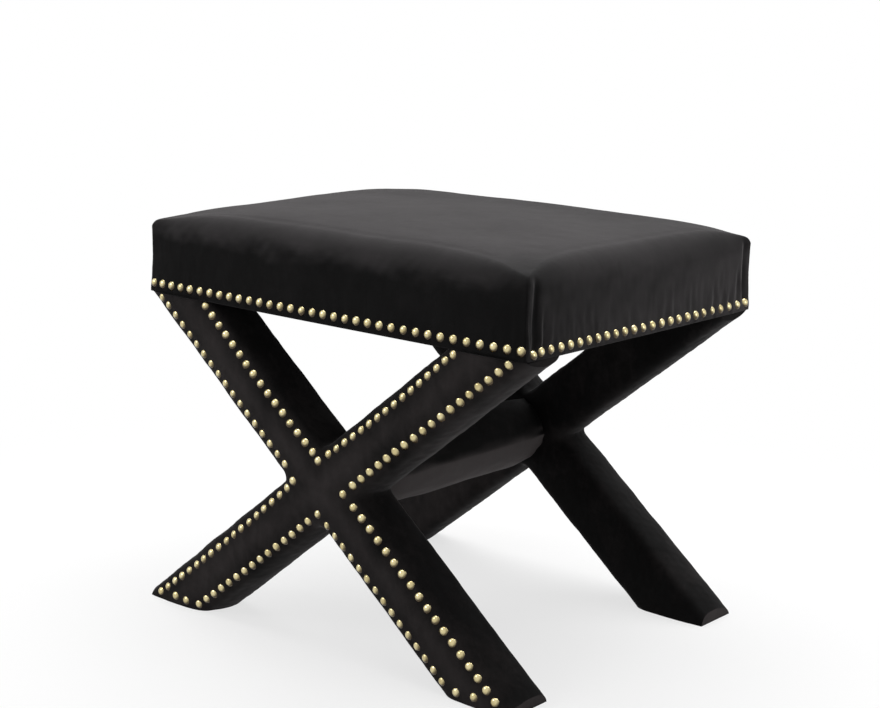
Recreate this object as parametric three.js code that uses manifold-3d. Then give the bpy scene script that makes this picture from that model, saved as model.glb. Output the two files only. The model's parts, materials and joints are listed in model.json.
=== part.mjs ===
// Upholstered bench stool: a crowned seat on two crossed leg frames, joined by a padded stretcher.
// Millimetres, +Z up. The origin is on the floor under the middle of the seat.
// +X runs along the long nailed front, and the front is at -Y.
import * as THREE from 'three';
import { mergeVertices } from 'three/addons/utils/BufferGeometryUtils.js';
import Module from 'manifold-3d';

const wasm = await Module();
wasm.setup();

// Seat: outer faces of the cover
const seatWidth = 610;
const seatDepth = 478;
const seatBase = 413; // underside of the seat above the floor
const seatCornerHeight = 82; // from the underside to the top at a corner
const seatEdgeRise = 23; // how much higher the top is along an edge, away from its corners
const seatEdgeFullness = 8; // how close to a corner the edge keeps that height
const seatCrown = 7; // how much higher again the middle is
const seatEdgeRounding = 29; // roll of the top edge, away from the corners
const seatCornerRounding = 10; // roll of the top edge at a corner
const seatCornerRadius = 10; // corner in plan
const seatWaist = 1.6; // how far the sides draw in above the nails
const seatBow = 0.8; // how much more they draw in halfway between the corners
const pleatDepth = 1.2; // fold of the cover beside each corner
const pleatWidth = 5;
const pleatOffset = 12; // from the end of the corner's curve to the middle of its fold

// Layers of the upholstery
const velvet = 2;
const seatBatting = 2.5;
const legWadding = 2;
const gap = 0.3; // clearance between pieces that touch
const hemWidth = 20; // velvet turned in under the seat
const dustCoverThickness = 0.8;
const dustCoverMargin = 16; // from the seat's edge to the edge of the dust cover

// Seat frame
const railHeight = 42;
const railThickness = 36;
const cornerBlockLeg = 62;
const deckThickness = 12;
const railCornerRadius = 13;
const deckCornerRadius = 21;

// Crossed legs
const legWidth = 65; // across the nailed face
const legDepth = 67; // front to back
const legRounding = 8;
const legCrown = 2.4; // how far the padding swells each face in its middle
const toeInset = 2.8; // from the side of the seat to the upright cut toe of a leg
const toeOverrun = 4; // how far a toe would pass the side of the seat if it weren't cut
const crossingRise = 4; // how far the crossing is above the middle of the legs
const coreRounding = 2.5;

// Stretcher between the two crossings
const stretcherHalfWidth = 43;
const stretcherHalfHeight = 48;
const stretcherFullness = 1.45; // 1 is a diamond, 2 an oval
const stretcherDraw = 4; // how much slimmer it is at its ends
const stretcherCore = 34; // square bar set on its edge

// Nails of the trim
const nailRadius = 5.5;
const nailRise = 3.2;
const nailShankRadius = 0.9;
const nailShankLength = 19;
const nailRowHeight = 11; // seat nails above the seat's underside
const nailEdge = 9; // nail rows in from the edge of a leg, and seat rows from its corners
const notchFill = 2.6; // how far the padding pushes out the nails where two rows meet

// Screws that hold the leg tops to the front and rear rails
const screwRadius = 2.3;
const screwLength = 66;
const screwHeadRadius = 4.6;
const screwHeadHeight = 3.4;
const screwGrip = 34; // length inside the rail
const screwEdge = 5; // wood left beside a screw, measured level

// Lag bolts through the crossings into the stretcher
const boltRadius = 4;
const boltLength = 105;
const boltHeadRadius = 7.5;
const boltHeadHeight = 5.5;
const boltRecess = 7;

// Shared shares and counts
const sideLevelShares = [0.1, 0.24, 0.42, 0.62, 0.84, 1];
const sideDrawShares = [0.12, 0.75, 1, 0.8, 0.35, 0];
const topRingShares = [0.93, 0.78, 0.42];
const rollSteps = 3;
const cornerCrowdingShare = 0.5; // how much closer the points of a ring are near its corners
const longSideSteps = 8;
const shortSideSteps = 6;
const cornerSteps = 2;
const legCornerSteps = 2;
const crownShares = [0.2, 0.5, 0.8];
const pleatShares = [0, 0.4, 1, 1, 1, 0.6, 0.2];
const roundSteps = 8;
const stretcherSides = 20;
const stretcherRingShares = [-1, -0.92, -0.7, 0, 0.7, 0.92, 1];

// Worked out from the sizes above
const overrun = legWidth; // how far every cutting tool runs past what it cuts
const reach = seatWidth + seatDepth; // longer than any piece
const legTop = seatBase - gap;
const crossHeight = legTop / 2 + crossingRise;
const legSlope = solveLegSlope();
const legLean = Math.PI / 2 - legSlope;
const frameOffset = seatDepth / 2 - legDepth / 2; // centre of each crossed frame from the middle
const skin = velvet + gap;
const coreInset = skin + legWadding + gap;
const coreWidth = legWidth - 2 * coreInset;
const coreDepth = legDepth - 2 * coreInset;
const railInset = skin + seatBatting + gap + seatWaist + seatBow;
const railBase = seatBase + skin;
const railTop = railBase + railHeight;
const deckTop = railTop + gap + deckThickness;
const frameWidth = seatWidth - 2 * railInset;
const frameDepth = seatDepth - 2 * railInset;

const velvetBlack = { color: 0x1b1817, roughness: 0.9, metalness: 0 };
const waddingWhite = { color: 0xe6e2d8, roughness: 1, metalness: 0 };
const foamCream = { color: 0xe3d9a8, roughness: 1, metalness: 0 };
const beech = { color: 0xc39a6b, roughness: 0.7, metalness: 0 };
const plywood = { color: 0xcfae7d, roughness: 0.75, metalness: 0 };
const cambric = { color: 0x26262a, roughness: 1, metalness: 0 };
const zincSteel = { color: 0xb4b8bc, roughness: 0.35, metalness: 1 };
const brass = { color: 0xc9a658, roughness: 0.28, metalness: 1 };

// The two crossed frames, and which way each one faces along Y
const frames = [
  { place: 'front', side: -1 },
  { place: 'rear', side: 1 },
];

const stool = new THREE.Group();

// Slope at which a leg of this width would reach the floor just past the side of the seat
function solveLegSlope() {
  const halfSpan = seatWidth / 2 + toeOverrun;
  const halfHeight = crossHeight;
  const diagonal = Math.hypot(halfSpan, halfHeight);
  return Math.atan2(halfHeight, halfSpan) + Math.asin(legWidth / 2 / diagonal);
}

// A closed three.js geometry as a solid that can be cut and joined
function solidOf(geometry) {
  const bare = geometry.clone();
  bare.deleteAttribute('normal');
  bare.deleteAttribute('uv');
  const merged = mergeVertices(bare);
  const vertProperties = new Float32Array(merged.attributes.position.array);
  const triVerts = new Uint32Array(merged.index.array);
  return new wasm.Manifold(new wasm.Mesh({ numProp: 3, vertProperties, triVerts }));
}

// A finished solid as a named mesh of the stool
function addPiece(name, solid, look) {
  const mesh = solid.getMesh();
  const geometry = new THREE.BufferGeometry();
  geometry.setAttribute('position', new THREE.BufferAttribute(new Float32Array(mesh.vertProperties), 3));
  geometry.setIndex(new THREE.BufferAttribute(new Uint32Array(mesh.triVerts), 1));
  const flat = geometry.toNonIndexed();
  flat.computeVertexNormals();
  const piece = new THREE.Mesh(flat, new THREE.MeshStandardMaterial(look));
  piece.name = name;
  stool.add(piece);
}

// A block between two corners
function block(xLow, xHigh, yLow, yHigh, zLow, zHigh) {
  const geometry = new THREE.BoxGeometry(xHigh - xLow, yHigh - yLow, zHigh - zLow);
  geometry.translate((xLow + xHigh) / 2, (yLow + yHigh) / 2, (zLow + zHigh) / 2);
  return solidOf(geometry);
}

// Everything between two heights
function slab(zLow, zHigh) {
  return block(-reach, reach, -reach, reach, zLow, zHigh);
}

// A closed skin through rings of equal count, with a point in the middle of each end
function loft(rings) {
  const count = rings[0].length;
  const positions = [];
  const index = [];
  for (const ring of rings) {
    for (const point of ring) {
      positions.push(...point);
    }
  }
  for (let r = 0; r + 1 < rings.length; r += 1) {
    for (let i = 0; i < count; i += 1) {
      const a = r * count + i;
      const b = r * count + ((i + 1) % count);
      index.push(a, b, b + count, a, b + count, a + count);
    }
  }
  for (const end of [0, rings.length - 1]) {
    const middle = positions.length / 3;
    const sum = [0, 0, 0];
    for (const point of rings[end]) {
      point.forEach((value, axis) => {
        sum[axis] += value / count;
      });
    }
    positions.push(...sum);
    for (let i = 0; i < count; i += 1) {
      const a = end * count + i;
      const b = end * count + ((i + 1) % count);
      index.push(...(end === 0 ? [middle, b, a] : [middle, a, b]));
    }
  }
  const geometry = new THREE.BufferGeometry();
  geometry.setAttribute('position', new THREE.BufferAttribute(new Float32Array(positions), 3));
  geometry.setIndex(index);
  return solidOf(geometry);
}

// Rounded rectangle in plan, anticlockwise from the right side of the front edge.
// fold is the depth of a pleat beside each corner on the short sides, or nothing for a plain ring.
function planRing(halfX, halfY, radius, fold) {
  const points = [];
  const corners = [[1, -1, -90], [1, 1, 0], [-1, 1, 90], [-1, -1, 180]];
  corners.forEach(([sideX, sideY, start], corner) => {
    const centre = [sideX * (halfX - radius), sideY * (halfY - radius)];
    for (let i = 0; i <= cornerSteps; i += 1) {
      const turn = THREE.MathUtils.degToRad(start + (90 * i) / cornerSteps);
      points.push([centre[0] + radius * Math.cos(turn), centre[1] + radius * Math.sin(turn)]);
    }
    const [nextX, nextY] = corners[(corner + 1) % corners.length];
    const from = points[points.length - 1];
    const alongY = sideX === nextX;
    const to = alongY ? [from[0], nextY * (halfY - radius)] : [nextX * (halfX - radius), from[1]];
    const steps = alongY ? shortSideSteps : longSideSteps;
    const pleats = alongY && fold !== undefined ? pleatPoints(from, to, sideX * fold, halfY) : [[], []];
    points.push(...pleats[0]);
    for (let i = 1; i < steps; i += 1) {
      const turn = (2 * Math.PI * i) / steps;
      const share = (turn - cornerCrowdingShare * Math.sin(turn)) / (2 * Math.PI);
      points.push([from[0] + (to[0] - from[0]) * share, from[1] + (to[1] - from[1]) * share]);
    }
    points.push(...pleats[1]);
  });
  return points;
}

// The three points of a fold near each end of a short side, closer in on a smaller ring
function pleatPoints(from, to, inward, halfY) {
  const way = Math.sign(to[1] - from[1]);
  const spread = halfY / (seatDepth / 2);
  const near = (end, sign) => [-1, 0, 1].map((step) => [
    end[0] - (step === 0 ? inward : 0),
    end[1] + sign * way * spread * (pleatOffset + (pleatWidth / 2) * step),
  ]);
  return [near(from, 1), near(to, -1).reverse()];
}

// The seat's crowned form, drawn in by an even inset and closed at its foot
function seatForm(inset, foot, pleated = false) {
  const halfX = seatWidth / 2 - inset;
  const halfY = seatDepth / 2 - inset;
  const cornerTop = seatBase + seatCornerHeight - inset;
  const radius = Math.max(seatCornerRadius - inset, gap);
  const fullness = ([x, y]) => 1 - Math.min(Math.abs((x / halfX) * (y / halfY)), 1) ** seatEdgeFullness;
  const topAt = ([x, y]) => {
    const crown = seatCrown * (1 - (x / halfX) ** 2) * (1 - (y / halfY) ** 2);
    return cornerTop + seatEdgeRise * fullness([x, y]) + crown;
  };
  const rollAt = (point) => {
    return seatCornerRounding + (seatEdgeRounding - seatCornerRounding) * fullness(point) - inset;
  };
  const sideRing = (share, drawShare, foldShare) => {
    const ring = planRing(halfX, halfY, radius, pleated ? pleatDepth * foldShare : undefined);
    return ring.map(([x, y]) => {
      const shoulder = topAt([x, y]) - rollAt([x, y]);
      const inX = 1 - (seatWaist + seatBow * (1 - (y / halfY) ** 2)) * drawShare / halfX;
      const inY = 1 - (seatWaist + seatBow * (1 - (x / halfX) ** 2)) * drawShare / halfY;
      return [x * inX, y * inY, seatBase + (shoulder - seatBase) * share];
    });
  };
  const rings = [sideRing(0, 0, pleatShares[0]).map(([x, y]) => [x, y, foot])];
  sideLevelShares.forEach((share, level) => {
    rings.push(sideRing(share, sideDrawShares[level], pleatShares[level + 1]));
  });
  const edge = planRing(halfX, halfY, radius, pleated ? 0 : undefined);
  const inwards = ([x, y], inward) => [x * (1 - inward / halfX), y * (1 - inward / halfY)];
  for (let i = 1; i <= rollSteps; i += 1) {
    const turn = (i / rollSteps) * (Math.PI / 2);
    rings.push(edge.map((point) => {
      const place = inwards(point, rollAt(point) * (1 - Math.cos(turn)));
      return [...place, topAt(place) - rollAt(point) * (1 - Math.sin(turn))];
    }));
  }
  for (const share of topRingShares) {
    rings.push(edge.map((point) => {
      const [x, y] = inwards(point, rollAt(point));
      const place = [x * share, y * share];
      return [...place, topAt(place)];
    }));
  }
  return loft(rings);
}

// Turned solid about +Z from a profile of radius and height
function turned(profile, steps = roundSteps) {
  const points = profile.map(([radius, height]) => new THREE.Vector2(radius, height));
  const geometry = new THREE.LatheGeometry(points, steps);
  geometry.rotateX(Math.PI / 2);
  return solidOf(geometry);
}

function cylinder(radius, zLow, zHigh, steps = roundSteps) {
  return turned([[0, zLow], [radius, zLow], [radius, zHigh], [0, zHigh]], steps);
}

// A round hole whose flats clear a shaft of that radius by a gap
function hole(radius, zLow, zHigh) {
  return cylinder((radius + gap) / Math.cos(Math.PI / roundSteps), zLow, zHigh);
}

// A bar along one leg's slope through the crossing, its faces swollen by a crown in their middle.
// lean is 1 for a leg that rises to +X and -1 for the other.
function legBar(width, depth, rounding, crown, lean, y) {
  const section = new THREE.Shape();
  const halfW = width / 2;
  const halfD = depth / 2;
  const corners = [[halfW, -halfD, -90], [halfW, halfD, 0], [-halfW, halfD, 90], [-halfW, -halfD, 180]];
  const points = [];
  for (const [x, z, start] of corners) {
    const centre = [x - Math.sign(x) * rounding, z - Math.sign(z) * rounding];
    for (let i = 0; i <= legCornerSteps; i += 1) {
      const turn = THREE.MathUtils.degToRad(start + (90 * i) / legCornerSteps);
      points.push(new THREE.Vector2(centre[0] + rounding * Math.cos(turn), centre[1] + rounding * Math.sin(turn)));
    }
    const out = THREE.MathUtils.degToRad(start + 90);
    const last = points[points.length - 1];
    const flat = 2 * (Math.abs(Math.sin(out)) * halfW + Math.abs(Math.cos(out)) * halfD - rounding);
    for (const share of crown > 0 ? crownShares : []) {
      const rise = crown * 4 * share * (1 - share);
      points.push(new THREE.Vector2(
        last.x + Math.cos(out) * rise - Math.sin(out) * flat * share,
        last.y + Math.sin(out) * rise + Math.cos(out) * flat * share,
      ));
    }
  }
  section.setFromPoints(points);
  const geometry = new THREE.ExtrudeGeometry(section, { depth: reach, bevelEnabled: false });
  geometry.translate(0, 0, -reach / 2);
  geometry.rotateY(lean * legLean);
  geometry.translate(0, y, crossHeight);
  return solidOf(geometry);
}

// The leg's body at a depth below its outer face, grown or shrunk evenly
function legBody(inset, lean, y) {
  const rounding = Math.max(legRounding - inset, coreRounding);
  return legBar(legWidth - 2 * inset, legDepth - 2 * inset, rounding, legCrown, lean, y);
}

// The part of a leg between two heights, its toe cut upright at a depth below the outer face
function standing(solid, inset, foot, top) {
  const toe = seatWidth / 2 - toeInset - inset;
  return solid.intersect(block(-toe, toe, -reach, reach, foot, top));
}

// A solid cut back so that it only touches the four legs
function clearOfLegs(solid) {
  let left = solid;
  for (const { side } of frames) {
    for (const lean of [-1, 1]) {
      left = left.subtract(legBody(-gap, lean, side * frameOffset));
    }
  }
  return left;
}

// The wooden bar inside a leg, grown evenly for the holes that it passes through
function coreBar(growth, lean, y) {
  return legBar(coreWidth + 2 * growth, coreDepth + 2 * growth, coreRounding, 0, lean, y);
}

// Where the centre line of a leg is at a height
function legCentre(lean, height) {
  return (lean * (height - crossHeight)) / Math.tan(legSlope);
}

// Square bar on its edge along Y, centred on the crossings
function stretcherBar(side, yLow, yHigh) {
  const half = side / Math.SQRT2;
  const section = new THREE.Shape();
  section.setFromPoints([[half, 0], [0, half], [-half, 0], [0, -half]].map(([x, z]) => new THREE.Vector2(x, z)));
  const geometry = new THREE.ExtrudeGeometry(section, { depth: yHigh - yLow, bevelEnabled: false });
  geometry.rotateX(Math.PI / 2);
  geometry.translate(0, yHigh, crossHeight);
  return solidOf(geometry);
}

// The stretcher's full, rounded form, drawn in by an even inset
function stretcherForm(inset, halfLength) {
  const innerHalf = frameOffset - legDepth / 2;
  const rings = stretcherRingShares.map((share) => {
    const y = share * halfLength;
    const draw = stretcherDraw * (y / innerHalf) ** 4 + inset;
    const ring = [];
    for (let i = 0; i < stretcherSides; i += 1) {
      const turn = (-i / stretcherSides) * 2 * Math.PI;
      const power = 2 / stretcherFullness;
      const x = Math.sign(Math.cos(turn)) * Math.abs(Math.cos(turn)) ** power * (stretcherHalfWidth - draw);
      const z = Math.sign(Math.sin(turn)) * Math.abs(Math.sin(turn)) ** power * (stretcherHalfHeight - draw);
      ring.push([x, y, crossHeight + z]);
    }
    return ring;
  });
  return loft(rings);
}

// Places of the single nails: where the rows meet at a crossing, and the seat's corners
function crossingNailPlaces() {
  const half = legWidth / 2 - nailEdge + notchFill;
  const across = half / Math.sin(legSlope);
  const up = half / Math.cos(legSlope);
  return [['left', -across, 0], ['right', across, 0], ['top', 0, up], ['bottom', 0, -up]];
}

// A nail with its head at the origin, its shank along -Z, and a gap under the head
function nail() {
  const head = [
    [0, gap],
    [nailRadius, gap],
    [nailRadius * Math.cos(Math.PI / 6), gap + nailRise / 2],
    [nailRadius / 2, gap + nailRise * Math.cos(Math.PI / 8)],
    [0, gap + nailRise],
  ];
  return turned(head).add(cylinder(nailShankRadius, gap - nailShankLength, nailRise / 2));
}

// The shank's hole and the dimple that the head pulls into a padded face
function nailHole() {
  const dimple = hole(nailRadius, 0, nailRise);
  return hole(nailShankRadius, -nailShankLength - gap, nailRise).add(dimple);
}

// Turns a solid that points along +Z so that it points along a heading in plan, then moves it
function aimed(solid, heading, place) {
  return solid.rotate([0, 90, 0]).rotate([0, 0, heading]).translate(place);
}

// Nails and holes gathered before the pieces that they pass through are cut
function crossingNails({ place, side }) {
  return crossingNailPlaces().map(([where, x, z]) => ({
    name: `nail_${place}_crossing_${where}`,
    heading: side * 90,
    at: [x, side * (seatDepth / 2), crossHeight + z],
  }));
}

// The last nail at each end of the long rows, on the face as it is drawn in at that height
function seatCornerNails() {
  const shoulder = seatCornerHeight - seatCornerRounding;
  const level = sideLevelShares.findIndex((share) => share * shoulder > nailRowHeight);
  const [low, high] = [level - 1, level].map((i) => sideLevelShares[i] * shoulder);
  const part = (nailRowHeight - low) / (high - low);
  const draw = seatWaist * THREE.MathUtils.lerp(sideDrawShares[level - 1], sideDrawShares[level], part);
  const corners = [['front_left', -1, -1], ['front_right', 1, -1], ['rear_left', -1, 1], ['rear_right', 1, 1]];
  return corners.map(([where, sx, sy]) => ({
    name: `nail_seat_${where}`,
    heading: sy * 90,
    at: [sx * (seatWidth / 2 - nailEdge), sy * (seatDepth / 2 - draw), seatBase + nailRowHeight],
  }));
}

function drill(solid, nails) {
  return nails.reduce((left, { heading, at }) => left.subtract(aimed(nailHole(), heading, at)), solid);
}

const screwTip = railBase + screwGrip;
const screwFoot = screwTip - screwLength;

// Screws from the underside of a leg top up into the rail above it: the outer one keeps its head
// inside the core's lower edge, and the inner one leaves the core inside its upper edge
function screwPlaces(side) {
  const y = side * (seatDepth / 2 - railInset - railThickness / 2);
  const levelHalf = coreWidth / 2 / Math.sin(legSlope) - screwEdge;
  const outer = legCentre(1, screwFoot) + levelHalf - screwHeadRadius;
  const inner = legCentre(1, legTop) - levelHalf + screwRadius;
  return [-1, 1].flatMap((lean) => [
    { lean, which: 'outer', x: lean * outer, y },
    { lean, which: 'inner', x: lean * inner, y },
  ]);
}

function screw({ x, y }) {
  const profile = [
    [0, screwFoot],
    [screwHeadRadius, screwFoot],
    [screwRadius, screwFoot + screwHeadHeight],
    [screwRadius, screwTip - screwHeadHeight],
    [0, screwTip],
  ];
  return turned(profile).translate([x, y, 0]);
}

function screwHole({ x, y }) {
  const bore = hole(screwRadius, screwFoot, screwTip + gap);
  const recess = hole(screwHeadRadius, screwFoot - overrun, screwFoot + screwHeadHeight + gap);
  return bore.add(recess).translate([x, y, 0]);
}

// Lag bolt with its head towards the outside of a crossed frame
function bolt(side) {
  const outer = coreDepth / 2 - boltRecess;
  const head = cylinder(boltHeadRadius, outer, outer + boltHeadHeight, 6);
  const shank = cylinder(boltRadius, outer - boltLength, outer + boltHeadHeight / 2);
  return aimed(head.add(shank), side * 90, [0, side * frameOffset, crossHeight]);
}

function boltHole(side) {
  const outer = coreDepth / 2 - boltRecess;
  const bore = hole(boltRadius, outer - boltLength - gap, outer);
  const recess = hole(boltHeadRadius, outer - gap, outer + boltRecess + overrun);
  return aimed(bore.add(recess), side * 90, [0, side * frameOffset, crossHeight]);
}

// One crossed frame: the leg that falls to the right, seen from outside, runs unbroken through the other
function addFrame(frame) {
  const { place, side } = frame;
  const y = side * frameOffset;
  const whole = side;
  const lapped = -side;
  const nails = crossingNails(frame);
  const screws = screwPlaces(side);
  const outside = (depth) => (side < 0
    ? block(-reach, reach, -reach, y + depth, -reach, reach)
    : block(-reach, reach, y - depth, reach, -reach, reach));
  const inside = (depth) => (side < 0
    ? block(-reach, reach, y - depth, reach, -reach, reach)
    : block(-reach, reach, -reach, y + depth, -reach, reach));
  const stretcherPass = stretcherBar(stretcherCore + 2 * gap, -frameOffset, frameOffset);

  const cut = (core) => {
    const bored = screws.reduce((left, at) => left.subtract(screwHole(at)), core);
    return drill(bored.subtract(boltHole(side)), nails);
  };
  const wood = (lean) => standing(coreBar(0, lean, y), coreInset, skin, legTop);
  const wholeCore = wood(whole)
    .subtract(coreBar(gap, lapped, y).intersect(inside(0)));
  const lappedCore = wood(lapped)
    .subtract(coreBar(gap, whole, y).intersect(outside(gap)));
  addPiece(`${place}_leg_core_whole`, cut(wholeCore), beech);
  addPiece(`${place}_leg_core_lapped`, cut(lappedCore), beech);

  const past = legTop + overrun;
  const wadding = (lean) => standing(legBody(skin, lean, y), skin, skin, legTop)
    .subtract(standing(coreBar(gap, lean, y), coreInset - gap, 0, past));
  const cover = (lean) => standing(legBody(0, lean, y), 0, 0, legTop)
    .subtract(standing(legBody(velvet, lean, y), velvet, velvet, past));
  const passes = coreBar(gap, lapped, y).add(stretcherPass);
  addPiece(`${place}_leg_wadding_whole`, drill(wadding(whole).subtract(passes), nails), waddingWhite);
  addPiece(`${place}_leg_cover_whole`, drill(cover(whole).subtract(passes), nails), velvetBlack);

  const clear = legBody(-gap, whole, y).add(stretcherPass);
  const ends = [['upper', slab(crossHeight, reach)], ['lower', slab(-reach, crossHeight)]];
  for (const [end, half] of ends) {
    const arm = (solid) => drill(solid.subtract(clear).intersect(half), nails);
    addPiece(`${place}_leg_wadding_${end}`, arm(wadding(lapped)), waddingWhite);
    addPiece(`${place}_leg_cover_${end}`, arm(cover(lapped)), velvetBlack);
  }

  addPiece(`${place}_stretcher_bolt`, bolt(side), zincSteel);
  for (const at of screws) {
    addPiece(`${place}_${at.lean < 0 ? 'left' : 'right'}_leg_screw_${at.which}`, screw(at), zincSteel);
  }
  for (const { name, heading, at } of nails) {
    addPiece(name, aimed(nail(), heading, at), brass);
  }
}

function addStretcher() {
  const face = frameOffset - legDepth / 2; // inner faces of the crossed frames, before their crown
  const woodEnd = frameOffset - coreDepth / 2 - gap;
  const core = stretcherBar(stretcherCore, -woodEnd, woodEnd).subtract(boltHole(-1)).subtract(boltHole(1));
  addPiece('stretcher_core', core, beech);
  const tool = face + overrun;
  const wadding = stretcherForm(skin, face).subtract(stretcherBar(stretcherCore + 2 * gap, -tool, tool));
  addPiece('stretcher_wadding', clearOfLegs(wadding), waddingWhite);
  const cover = stretcherForm(0, face).subtract(stretcherForm(velvet, face + gap));
  addPiece('stretcher_cover', clearOfLegs(cover), velvetBlack);
}

// Upright blank with the outline of the seat frame
function frameBlank(radius, zLow, zHigh) {
  const ring = planRing(frameWidth / 2, frameDepth / 2, radius);
  return loft([zLow, zHigh].map((z) => ring.map((point) => [...point, z])));
}

function addSeatFrame() {
  const nails = seatCornerNails();
  const halfX = frameWidth / 2;
  const halfY = frameDepth / 2;
  const blank = frameBlank(railCornerRadius, railBase, railTop);
  for (const { place, side } of frames) {
    const edges = [side * halfY, side * (halfY - railThickness)].sort((a, b) => a - b);
    const rail = blank.intersect(block(-reach, reach, edges[0], edges[1], -reach, reach));
    const bored = screwPlaces(side).reduce((left, at) => left.subtract(screwHole(at)), rail);
    addPiece(`seat_rail_${place}`, drill(bored, nails), beech);
  }
  for (const [place, side] of [['left', -1], ['right', 1]]) {
    const edges = [side * halfX, side * (halfX - railThickness)].sort((a, b) => a - b);
    const end = halfY - railThickness - gap;
    addPiece(`seat_rail_${place}`, block(edges[0], edges[1], -end, end, railBase, railTop), beech);
  }
  for (const [place, sx, sy] of [['front_left', -1, -1], ['front_right', 1, -1], ['rear_left', -1, 1], ['rear_right', 1, 1]]) {
    const x = halfX - railThickness - gap;
    const yIn = halfY - railThickness - gap;
    const shape = new THREE.Shape();
    const points = [[x, yIn], [x - cornerBlockLeg, yIn], [x, yIn - cornerBlockLeg]];
    shape.setFromPoints(points.map(([px, py]) => new THREE.Vector2(sx * px, sy * py)));
    const geometry = new THREE.ExtrudeGeometry(shape, { depth: railHeight, bevelEnabled: false });
    geometry.translate(0, 0, railBase);
    addPiece(`corner_block_${place}`, solidOf(geometry), beech);
  }
  addPiece('seat_deck', frameBlank(deckCornerRadius, railTop + gap, deckTop), plywood);
}

function addSeatUpholstery() {
  const nails = seatCornerNails();
  const battingInset = skin;
  const foamInset = battingInset + seatBatting + gap;
  const foam = seatForm(foamInset, railBase).intersect(slab(deckTop + gap, reach));
  addPiece('seat_foam', foam, foamCream);
  const batting = seatForm(battingInset, railBase).subtract(seatForm(foamInset - gap, railBase - overrun));
  addPiece('seat_batting', drill(batting, nails), waddingWhite);
  const opening = block(
    hemWidth - seatWidth / 2, seatWidth / 2 - hemWidth,
    hemWidth - seatDepth / 2, seatDepth / 2 - hemWidth,
    seatBase - overrun, railBase,
  );
  const cover = seatForm(0, seatBase, true).subtract(seatForm(velvet, seatBase + velvet)).subtract(opening);
  addPiece('seat_cover', drill(cover, nails), velvetBlack);
  for (const { name, heading, at } of nails) {
    addPiece(name, aimed(nail(), heading, at), brass);
  }
}

// Thin cloth under the seat, cut around the four leg tops
function addDustCover() {
  const halfX = seatWidth / 2 - dustCoverMargin;
  const halfY = seatDepth / 2 - dustCoverMargin;
  const low = legTop - dustCoverThickness;
  const sheet = block(-halfX, halfX, -halfY, halfY, low, legTop);
  addPiece('dust_cover', clearOfLegs(sheet), cambric);
}

frames.forEach(addFrame);
addStretcher();
addSeatFrame();
addSeatUpholstery();
addDustCover();

export default stool;
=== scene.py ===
# %% [markdown]
# # A velvet bench stool on crossed legs
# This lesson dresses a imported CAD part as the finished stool: a crowned seat in black velvet,
# two crossed frames in the same cloth, a padded stretcher between them and rows of domed brass
# nails. Every size is in metres and in the part's own frame: +X runs along the long front, the
# front is at -Y and the floor is at height zero.

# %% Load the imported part
import json
import math

import bmesh
import bpy
import numpy as np
from mathutils import Matrix, Vector
from mathutils.bvhtree import BVHTree
from mathutils.kdtree import KDTree

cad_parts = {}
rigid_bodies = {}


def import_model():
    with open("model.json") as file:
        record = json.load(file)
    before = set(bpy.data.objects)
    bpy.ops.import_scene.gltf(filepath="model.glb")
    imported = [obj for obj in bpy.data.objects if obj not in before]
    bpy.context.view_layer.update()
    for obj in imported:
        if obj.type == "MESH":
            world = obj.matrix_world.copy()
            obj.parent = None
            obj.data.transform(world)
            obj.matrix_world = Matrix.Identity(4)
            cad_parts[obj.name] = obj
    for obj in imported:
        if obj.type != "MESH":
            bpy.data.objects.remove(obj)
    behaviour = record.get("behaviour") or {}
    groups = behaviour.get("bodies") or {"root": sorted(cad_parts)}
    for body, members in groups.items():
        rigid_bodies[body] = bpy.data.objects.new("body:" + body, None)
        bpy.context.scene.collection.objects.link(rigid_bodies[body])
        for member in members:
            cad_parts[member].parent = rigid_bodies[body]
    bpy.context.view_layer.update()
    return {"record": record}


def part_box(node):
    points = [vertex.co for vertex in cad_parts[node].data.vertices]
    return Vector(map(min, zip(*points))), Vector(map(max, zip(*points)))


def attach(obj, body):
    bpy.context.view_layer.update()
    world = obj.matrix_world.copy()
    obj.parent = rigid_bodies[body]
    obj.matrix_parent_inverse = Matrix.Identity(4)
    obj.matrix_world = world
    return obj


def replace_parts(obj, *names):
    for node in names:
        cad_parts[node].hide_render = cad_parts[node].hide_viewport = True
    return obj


for leftover in list(bpy.data.objects):
    bpy.data.objects.remove(leftover)
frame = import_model()
MM = 0.001


def linked(name, data):
    """A new object with that data, linked to the scene."""
    thing = bpy.data.objects.new(name, data)
    bpy.context.scene.collection.objects.link(thing)
    return thing


def middle_of(node):
    """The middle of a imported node's box."""
    return [(low + high) / 2 for low, high in zip(*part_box(node))]


# %% [markdown]
# ## The camera
# The picture was taken from the front right, a little above the seat. The angles, the distance
# and the lens come from fitting the nail rows and the feet, so the view is built from them:
# a direction back from the object, a level direction to the right, and a small roll.

# %% Place the camera
AZIMUTH, ELEVATION, ROLL = (math.radians(angle) for angle in (39.31, 11.94, 1.59))
DISTANCE = 2.168
SIDE_SHIFT, RISE_SHIFT = 0.1411, -0.0470
FOCAL_SHARE = 1824 / 880
SENSOR_WIDTH = 36.0

seat_low, seat_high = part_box("seat_cover")
NAIL_ROW = 11 * MM
aim = Vector((0, seat_low.y, seat_low.z + NAIL_ROW))
back = Vector((
    math.sin(AZIMUTH) * math.cos(ELEVATION),
    -math.cos(AZIMUTH) * math.cos(ELEVATION),
    math.sin(ELEVATION),
))
level = Vector((math.cos(AZIMUTH), math.sin(AZIMUTH), 0))
upright = back.cross(level)
right = math.cos(ROLL) * level + math.sin(ROLL) * upright
up = math.cos(ROLL) * upright - math.sin(ROLL) * level
place = aim + right * SIDE_SHIFT + up * RISE_SHIFT + back * DISTANCE

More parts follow.
